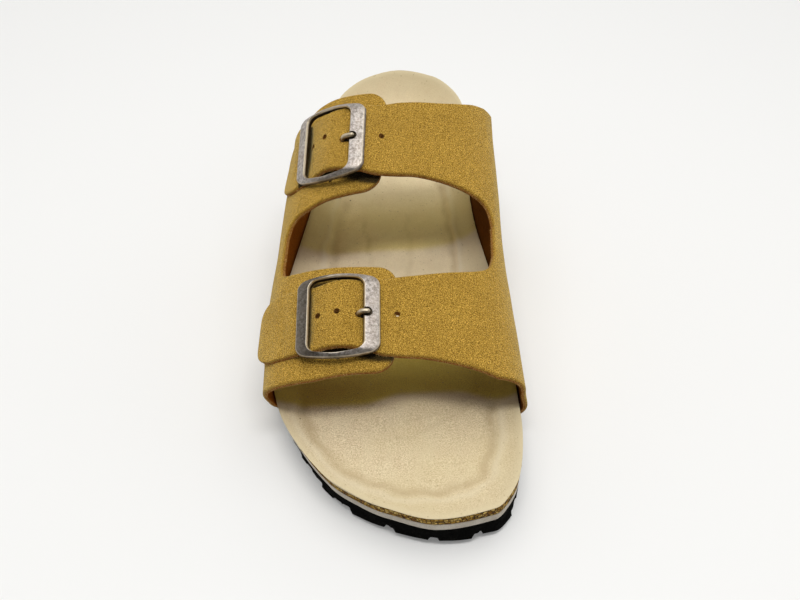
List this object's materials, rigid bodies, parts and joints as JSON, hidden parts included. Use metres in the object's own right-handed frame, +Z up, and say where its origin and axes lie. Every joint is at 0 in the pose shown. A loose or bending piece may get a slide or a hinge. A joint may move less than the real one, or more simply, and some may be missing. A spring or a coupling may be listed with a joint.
{
  "type": "two-strap buckle sandal",
  "caption": "Right-foot slide sandal: wide nubuck straps with metal buckles over a contoured cork footbed with suede liner, pale midsole and black block-tread outsole.",
  "frame": {"origin": "middle of the bounding box, on the ground plane under the sole", "axes": "+X to the inner (big-toe) side, +Y from toe to heel, +Z up"},
  "size_m": [0.1104, 0.2718, 0.0919],
  "materials": {
    "outsole_rubber": "matt black foam rubber",
    "midsole_foam": "matt pale grey foam",
    "cork": "raw granulated cork",
    "suede": "soft pale suede nap",
    "nubuck": "mustard tan nubuck with raw cut edges",
    "buckle_metal": "antique silver, worn at the edges"
  },
  "bodies": {
    "root": {"outsole": "outsole_rubber", "midsole": "midsole_foam", "footbed": "cork", "insole": "suede", "upper": "nubuck", "front_buckle": "buckle_metal", "front_prong": "buckle_metal", "rear_buckle": "buckle_metal", "rear_prong": "buckle_metal"}
  },
  "joints": []
}
